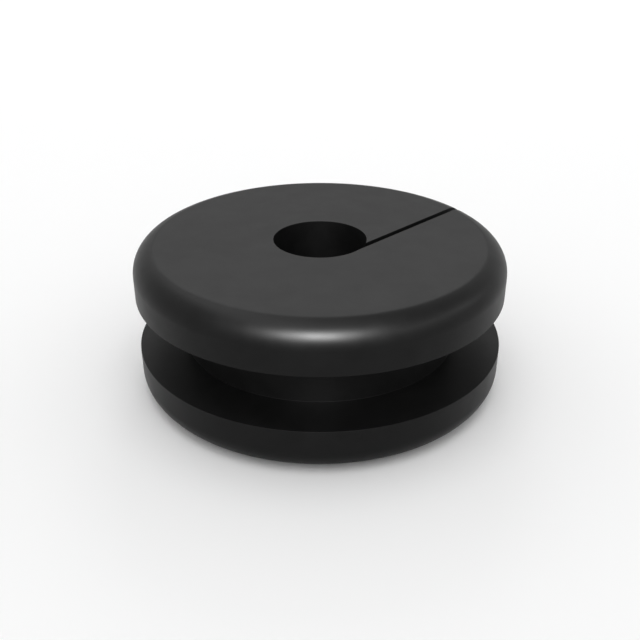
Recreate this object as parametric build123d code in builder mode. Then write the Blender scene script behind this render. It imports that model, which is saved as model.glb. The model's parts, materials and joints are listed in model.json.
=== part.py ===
from build123d import *
import os
from math import sqrt

# Split rubber grommet that lines a panel's hole and passes a cable through it. Sizes are in millimetres.
# It is one moulding: two equal flanges whose outer edges are well rounded, a square-cornered groove
# between them that takes the edge of the panel, and a straight bore for the cable.
# A straight slit leaves the bore on a tangent and runs out through the rim over the full height,
# so the rubber can be opened like a collar and put round a cable that already has its plug on.
# Z is the bore's axis, and the lower flange's flat face lies on Z = 0.

# Driving dimensions, each set by itself
outer_diameter = 40.0
flange_thickness = 5.0
groove_width = 6.0  # the thickest panel that the groove takes
hub_diameter = 30.0  # the panel's hole, which the bottom of the groove fills
bore_diameter = 10.0  # the cable
rim_radius = 2.5  # rounding of each flange's outer edge, on the side away from the groove
slit_width = 0.7
slit_direction = 45.0  # degrees from +X to the way the slit runs out through the rim
slit_overrun = 1.0  # how far the slit's outline passes the rim, so that the cut comes out clean

# Sizes that follow from them
outer_radius = outer_diameter / 2
hub_radius = hub_diameter / 2
bore_radius = bore_diameter / 2
groove_bottom_z = flange_thickness
groove_top_z = groove_bottom_z + groove_width
overall_height = groove_top_z + flange_thickness

# The slit's outer wall touches the bore's circle, and its inner wall cuts that circle further out
slit_reach = outer_radius + slit_overrun
slit_outer_wall_y = -bore_radius
slit_inner_wall_y = slit_outer_wall_y + slit_width
slit_inner_wall_start_x = sqrt(bore_radius**2 - slit_inner_wall_y**2)

with BuildPart() as grommet:
    # Half section of the two flanges and the hub, turned about the bore's axis
    with BuildSketch(Plane.XZ) as body_section:
        with BuildLine() as body_outline:
            Polyline(
                (0, 0),
                (outer_radius, 0),
                (outer_radius, groove_bottom_z),
                (hub_radius, groove_bottom_z),
                (hub_radius, groove_top_z),
                (outer_radius, groove_top_z),
                (outer_radius, overall_height),
                (0, overall_height),
                close=True,
            )
        make_face()
    revolve(axis=Axis.Z)

    # The lowest and the highest rim are rounded, and the edges at the groove stay sharp
    rims = grommet.edges().filter_by(GeomType.CIRCLE).group_by(Axis.Z)
    fillet(rims[0] + rims[-1], radius=rim_radius)

    # Bore and slit are one keyhole outline, drawn with the slit along the plane's own X
    with BuildSketch(Plane.XY.rotated((0, 0, slit_direction))) as keyhole:
        with BuildLine() as keyhole_outline:
            bore_wall = ThreePointArc(
                (slit_inner_wall_start_x, slit_inner_wall_y),
                (0, bore_radius),
                (0, slit_outer_wall_y),
            )
            Polyline(
                bore_wall @ 1,
                (slit_reach, slit_outer_wall_y),
                (slit_reach, slit_inner_wall_y),
                bore_wall @ 0,
            )
        make_face()
    extrude(amount=overall_height, mode=Mode.SUBTRACT)

grommet.part.label = "grommet"

os.makedirs("parts", exist_ok=True)
export_step(grommet.part, "parts/grommet.step")
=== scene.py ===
import json
import math

import bmesh
import bpy
from mathutils import Matrix, Vector


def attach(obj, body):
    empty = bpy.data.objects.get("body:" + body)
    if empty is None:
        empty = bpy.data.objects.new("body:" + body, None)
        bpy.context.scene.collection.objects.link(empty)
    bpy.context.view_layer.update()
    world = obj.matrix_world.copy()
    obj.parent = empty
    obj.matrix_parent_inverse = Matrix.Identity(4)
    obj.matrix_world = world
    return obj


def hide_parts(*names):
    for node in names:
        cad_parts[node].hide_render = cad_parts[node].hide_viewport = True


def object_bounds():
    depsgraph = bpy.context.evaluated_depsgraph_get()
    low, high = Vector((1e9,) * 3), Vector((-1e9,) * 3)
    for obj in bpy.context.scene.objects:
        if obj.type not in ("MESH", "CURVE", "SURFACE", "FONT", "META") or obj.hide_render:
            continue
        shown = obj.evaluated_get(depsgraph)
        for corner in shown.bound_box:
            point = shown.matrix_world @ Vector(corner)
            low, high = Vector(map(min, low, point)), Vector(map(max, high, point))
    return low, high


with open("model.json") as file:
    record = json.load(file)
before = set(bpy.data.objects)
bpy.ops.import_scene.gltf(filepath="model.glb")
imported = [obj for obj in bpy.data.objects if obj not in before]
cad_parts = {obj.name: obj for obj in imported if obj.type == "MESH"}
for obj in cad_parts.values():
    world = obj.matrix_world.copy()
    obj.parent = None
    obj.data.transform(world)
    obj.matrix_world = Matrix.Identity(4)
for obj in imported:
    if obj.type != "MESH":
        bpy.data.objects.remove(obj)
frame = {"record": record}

cadLow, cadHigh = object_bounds()
mm = 0.001  # sizes below read in millimetres, and the scene is in metres
mounts = {mount["name"]: mount["dims"] for mount in frame["record"]["mounts"]}
print("frame loaded")

# The moulding. Its main sizes come from the frame, so it always fits the CAD model

grommet = {
    "outerRadius": cadHigh.x,
    "height": cadHigh.z,
    "boreRadius": mounts["cable_bore"]["r_mm"] * mm,
    "hubRadius": mounts["panel_groove"]["r_mm"] * mm,
    "grooveWidth": mounts["panel_groove"]["length_mm"] * mm,
    "rimRounding": 2.5 * mm,  # the outer edge of each flange, away from the groove
    "cornerRounding": 0.06 * mm,  # all other moulded corners are nearly sharp
    "slitWidth": 0.7 * mm,
    "slitTurn": 45,  # degrees from +X to the way the slit runs out
    "turnSteps": 256,
    "rimSegments": 16,
    "cornerSegments": 2,
    "roundProfile": 0.5,  # a bevel of this profile is part of a circle
    "sharpAngle": 35,  # edges that turn by more degrees stay crisp
    "mergeDistance": 0.0001 * mm,
}


def roundCorners(bm, corners, rounding, segments, profile):
    bmesh.ops.bevel(bm, geom=corners, offset=rounding, offset_type="OFFSET", affect="VERTICES",
                    segments=segments, profile=profile, material=-1)


def turnProfile(bm, size):
    flange = (size["height"] - size["grooveWidth"]) / 2
    corners = [
        (size["boreRadius"], 0),
        (size["outerRadius"], 0),
        (size["outerRadius"], flange),
        (size["hubRadius"], flange),
        (size["hubRadius"], flange + size["grooveWidth"]),
        (size["outerRadius"], flange + size["grooveWidth"]),
        (size["outerRadius"], size["height"]),
        (size["boreRadius"], size["height"]),
    ]
    points = [bm.verts.new((0, -radius, z)) for radius, z in corners]
    bm.faces.new(points)
    rims = [points[1], points[6]]  # the lowest and the highest outer corner
    nearlySharp = [point for point in points if point not in rims]
    profile = size["roundProfile"]
    roundCorners(bm, rims, size["rimRounding"], size["rimSegments"], profile)
    roundCorners(bm, nearlySharp, size["cornerRounding"], size["cornerSegments"], profile)
    bmesh.ops.delete(bm, geom=bm.faces[:], context="FACES_ONLY")
    bmesh.ops.spin(bm, geom=bm.edges[:], cent=(0, 0, 0), axis=(0, 0, 1), angle=2 * math.pi,
                   steps=size["turnSteps"], use_merge=True)
    bmesh.ops.remove_doubles(bm, verts=bm.verts[:], dist=size["mergeDistance"])


def cutSlit(bm, size):
    # still unturned, the slit runs along +X from the bore,
    # and its outer wall touches the bore's circle
    outerWall = -size["boreRadius"]
    innerWall = outerWall + size["slitWidth"]
    for wall in (outerWall, innerWall):
        quarter = [face for face in bm.faces
                   if face.calc_center_median().x > 0 and face.calc_center_median().y < 0]
        edges = {edge for face in quarter for edge in face.edges}
        points = {point for face in quarter for point in face.verts}
        bmesh.ops.bisect_plane(bm, geom=quarter + list(edges) + list(points),
                               plane_co=(0, wall, 0), plane_no=(0, 1, 0),
                               dist=size["mergeDistance"])
    strip = [face for face in bm.faces if face.calc_center_median().x > 0
             and outerWall < face.calc_center_median().y < innerWall]
    bmesh.ops.delete(bm, geom=strip, context="FACES")
    wallEdges = [edge for edge in bm.edges if edge.is_boundary]  # round the slit's two walls
    bmesh.ops.edgeloop_fill(bm, edges=wallEdges)
    bmesh.ops.rotate(bm, verts=bm.verts[:], cent=(0, 0, 0),
                     matrix=Matrix.Rotation(math.radians(size["slitTurn"]), 3, "Z"))


def buildGrommet(size):
    bm = bmesh.new()
    turnProfile(bm, size)
    cutSlit(bm, size)
    bmesh.ops.recalc_face_normals(bm, faces=bm.faces[:])
    for face in bm.faces:
        face.smooth = True
    mesh = bpy.data.meshes.new("grommetMesh")
    bm.to_mesh(mesh)
    bm.free()
    mesh.set_sharp_from_angle(angle=math.radians(size["sharpAngle"]))
    moulding = bpy.data.objects.new("rubber_grommet", mesh)
    bpy.context.scene.collection.objects.link(moulding)
    # the flats shade flat right up to the rims
    flatFaces = moulding.modifiers.new("flatFaces", "WEIGHTED_NORMAL")
    flatFaces.keep_sharp = True
    return moulding


# The rubber: near black, with a fine grain from the mould and a faint random bloom. Its two outer
# flats are dull, and their lighter grey is painted sheen that stands in for reflected light. Its
# rims, groove, hub and bore are blacker, the rubber's own colour, and have a soft gloss

rubber = {
    # the flats' colours are painted sheen, far lighter than the rim's near black; their roughness is
    # their real duller finish
    "flat": {
        "darkest": (0.0275, 0.0275, 0.0275, 1),
        "bloomed": (0.032, 0.032, 0.032, 1),
        "roughness": 0.8,
    },
    "rim": {
        "darkest": (0.0038, 0.0038, 0.0038, 1),
        "bloomed": (0.0056, 0.0056, 0.0056, 1),
        "roughness": 0.405,
    },
    # depths under each flat: from the first down there is only the rim's finish,
    # and from the second up only the flat's rougher finish with its painted sheen
    "flatFade": (0.05 * mm, 0.001 * mm),
    "ior": 1.2,  # under real rubber's 1.5, which mirrors too much of the white floor
    # size is how wide the spots are, and spread the noise values that give the two ends
    "bloom": {"size": 3.0 * mm, "detail": 4, "spread": (0.35, 0.7)},
    # roughness is how much more or less than the finish's own
    "patches": {"size": 1.6 * mm, "detail": 3, "spread": (0.3, 0.7), "roughness": 0.02},
    "grain": {"size": 0.16 * mm, "detail": 2, "strength": 1, "depth": 0.0012 * mm},
}


def noiseNode(tree, place, pattern):
    noise = tree.nodes.new("ShaderNodeTexNoise")
    noise.inputs["Scale"].default_value = 1 / pattern["size"]
    noise.inputs["Detail"].default_value = pattern["detail"]
    tree.links.new(place, noise.inputs["Vector"])
    return noise.outputs["Fac"]


def bloomRamp(tree, bloom, spread, finish):
    ramp = tree.nodes.new("ShaderNodeValToRGB")
    colours = (finish["darkest"], finish["bloomed"])
    for stop, position, colour in zip(ramp.color_ramp.elements, spread, colours):
        stop.position = position
        stop.color = colour
    tree.links.new(bloom, ramp.inputs["Fac"])
    return ramp.outputs["Color"]


def mapRange(tree, value, given, wanted, interpolation="LINEAR"):
    mapping = tree.nodes.new("ShaderNodeMapRange")
    mapping.interpolation_type = interpolation
    mapping.inputs["From Min"].default_value, mapping.inputs["From Max"].default_value = given
    mapping.inputs["To Min"].default_value, mapping.inputs["To Max"].default_value = wanted
    tree.links.new(value, mapping.inputs["Value"])
    return mapping.outputs["Result"]


def mathNode(tree, operation, *values):
    node = tree.nodes.new("ShaderNodeMath")
    node.operation = operation
    for socket, value in zip(node.inputs, values):
        if isinstance(value, float):
            socket.default_value = value
        else:
            tree.links.new(value, socket)
    return node.outputs["Value"]


def flatMask(tree, place, fade, height):
    # 1 on the two outer flats and 0 everywhere else: it gives the flats their rougher finish and
    # their painted sheen
    split = tree.nodes.new("ShaderNodeSeparateXYZ")
    tree.links.new(place, split.inputs["Vector"])
    middle = height / 2
    fromMiddle = mathNode(tree, "ABSOLUTE", mathNode(tree, "SUBTRACT", split.outputs["Z"], middle))
    return mapRange(tree, fromMiddle, [middle - depth for depth in fade], (0, 1), "SMOOTHSTEP")


def blackRubber(look, height):
    material = bpy.data.materials.new("blackRubber")
    material.use_nodes = True
    tree = material.node_tree
    shader = tree.nodes["Principled BSDF"]
    shader.inputs["IOR"].default_value = look["ior"]
    place = tree.nodes.new("ShaderNodeTexCoord").outputs["Object"]
    flat, rim = look["flat"], look["rim"]
    onFlatFinishAndPaintedSheen = flatMask(tree, place, look["flatFade"], height)

    bloom = noiseNode(tree, place, look["bloom"])
    # the bloom noise varies the tone at random, and on the flats the whole tone is lifted as painted
    # sheen
    colour = tree.nodes.new("ShaderNodeMix")
    colour.data_type = "RGBA"
    tree.links.new(onFlatFinishAndPaintedSheen, colour.inputs["Factor"])
    tree.links.new(bloomRamp(tree, bloom, look["bloom"]["spread"], rim), colour.inputs["A"])
    tree.links.new(bloomRamp(tree, bloom, look["bloom"]["spread"], flat), colour.inputs["B"])
    tree.links.new(colour.outputs["Result"], shader.inputs["Base Color"])

    patches = noiseNode(tree, place, look["patches"])
    most = look["patches"]["roughness"]
    finish = mapRange(tree, onFlatFinishAndPaintedSheen, (0, 1), (rim["roughness"], flat["roughness"]))
    change = mapRange(tree, patches, look["patches"]["spread"], (-most, most))
    tree.links.new(mathNode(tree, "ADD", finish, change), shader.inputs["Roughness"])

    grain = tree.nodes.new("ShaderNodeBump")
    grain.inputs["Strength"].default_value = look["grain"]["strength"]
    grain.inputs["Distance"].default_value = look["grain"]["depth"]
    tree.links.new(noiseNode(tree, place, look["grain"]), grain.inputs["Height"])
    tree.links.new(grain.outputs["Normal"], shader.inputs["Normal"])
    return material


moulding = buildGrommet(grommet)
moulding.data.materials.append(blackRubber(rubber, grommet["height"]))
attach(moulding, "root")
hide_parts("grommet")
print("grommet built")

# Floor, lights and camera

studio = {
    "floorSize": 2.0,
    "floorDrop": 0.01 * mm,  # keeps the floor clear of the underside
    "floorColour": (0.945, 0.945, 0.945, 1),
    "floorRoughness": 0.9,
    "floorGloss": 0,
    # degrees above the horizon, and how bright the sky is there
    "sky": [
        (0, 0.97), (15, 0.83), (25, 0.9), (35, 0.92), (46, 0.66), (60, 0.55), (73, 2.1), (90, 2.7),
    ],
}

# turn is in degrees round from the camera's side, + to the right, and up in degrees above the floor.
# An onlyGleam lamp adds gleams without lighting the colours, and a level one faces the floor

lamps = {
    "keyLamp": {
        "turn": -2.3, "up": 40.5, "distance": 0.4, "width": 0.158, "height": 0.148,
        "radiance": 153, "onlyGleam": True, "level": False,
    },
    "rearPanel": {
        "turn": 178, "up": 35, "distance": 0.5, "width": 0.142, "height": 0.138,
        "radiance": 2.6, "onlyGleam": False, "level": False,
    },
    "leftPanel": {
        "turn": -129, "up": 62, "distance": 0.34, "width": 0.188, "height": 0.39,
        "radiance": 2.7, "onlyGleam": True, "level": True,
    },
    "rightStrip": {
        "turn": 76, "up": 27.5, "distance": 0.5, "width": 0.53, "height": 0.1,
        "radiance": 4.0, "onlyGleam": True, "level": False,
    },
}

lens = {
    "elevation": 28.407,  # degrees above the floor, looking along +Y
    "distance": 95.318 * mm,
    "aimHeight": 6.022 * mm,  # on the bore's axis, in the middle of the picture
    "focal": 47.41,
    "sensor": 36.0,
    "nearest": 1 * mm,
    "farthest": 10,
}


def buildFloor(look):
    bm = bmesh.new()
    bmesh.ops.create_grid(bm, x_segments=1, y_segments=1, size=look["floorSize"] / 2)
    bmesh.ops.translate(bm, verts=bm.verts[:], vec=(0, 0, -look["floorDrop"]))
    mesh = bpy.data.meshes.new("floorMesh")
    bm.to_mesh(mesh)
    bm.free()
    floor = bpy.data.objects.new("floor", mesh)
    bpy.context.scene.collection.objects.link(floor)
    material = bpy.data.materials.new("paleFloor")
    material.use_nodes = True
    shader = material.node_tree.nodes["Principled BSDF"]
    shader.inputs["Base Color"].default_value = look["floorColour"]
    shader.inputs["Roughness"].default_value = look["floorRoughness"]
    shader.inputs["Specular IOR Level"].default_value = look["floorGloss"]
    floor.data.materials.append(material)


def lightSky(look):
    world = bpy.data.worlds.new("softSky")
    bpy.context.scene.world = world
    world.use_nodes = True
    nodes, links = world.node_tree.nodes, world.node_tree.links
    brightest = max(level for elevation, level in look["sky"])
    nodes["Background"].inputs["Strength"].default_value = brightest
    split = nodes.new("ShaderNodeSeparateXYZ")
    bands = nodes.new("ShaderNodeValToRGB")
    bands.color_ramp.interpolation = "EASE"
    while len(bands.color_ramp.elements) < len(look["sky"]):
        bands.color_ramp.elements.new(1)
    for stop, (elevation, level) in zip(bands.color_ramp.elements, look["sky"]):
        stop.position = math.sin(math.radians(elevation))
        share = level / brightest
        stop.color = (share, share, share, 1)
    links.new(nodes.new("ShaderNodeTexCoord").outputs["Generated"], split.inputs["Vector"])
    links.new(split.outputs["Z"], bands.inputs["Fac"])
    links.new(bands.outputs["Color"], nodes["Background"].inputs["Color"])


def addLamp(name, look, aim):
    lamp = bpy.data.lights.new(name, "AREA")
    lamp.shape = "RECTANGLE"
    lamp.size = look["width"]
    lamp.size_y = look["height"]
    lamp.energy = look["radiance"] * math.pi * look["width"] * look["height"]
    holder = bpy.data.objects.new(name, lamp)
    bpy.context.scene.collection.objects.link(holder)
    around, up = math.radians(look["turn"]), math.radians(look["up"])
    towards = Vector((
        math.sin(around) * math.cos(up),
        -math.cos(around) * math.cos(up),
        math.sin(up),
    ))
    holder.location = aim + towards * look["distance"]
    if not look["level"]:
        holder.rotation_mode = "QUATERNION"
        holder.rotation_quaternion = towards.to_track_quat("Z", "Y")
    holder.visible_camera = False
    holder.visible_diffuse = not look["onlyGleam"]


def placeCamera(look):
    camera = bpy.data.cameras.new("camera")
    camera.lens = look["focal"]
    camera.sensor_width = look["sensor"]
    camera.clip_start = look["nearest"]
    camera.clip_end = look["farthest"]
    holder = bpy.data.objects.new("camera", camera)
    bpy.context.scene.collection.objects.link(holder)
    up = math.radians(look["elevation"])
    back = Vector((0, -math.cos(up), math.sin(up)))
    holder.location = Vector((0, 0, look["aimHeight"])) + back * look["distance"]
    holder.rotation_mode = "QUATERNION"
    holder.rotation_quaternion = (-back).to_track_quat("-Z", "Y")
    bpy.context.scene.camera = holder


buildFloor(studio)
lightSky(studio)
for lampName, lampLook in lamps.items():
    addLamp(lampName, lampLook, Vector((0, 0, grommet["height"] / 2)))
placeCamera(lens)
bpy.context.scene.view_settings.view_transform = "Standard"
print("studio set")
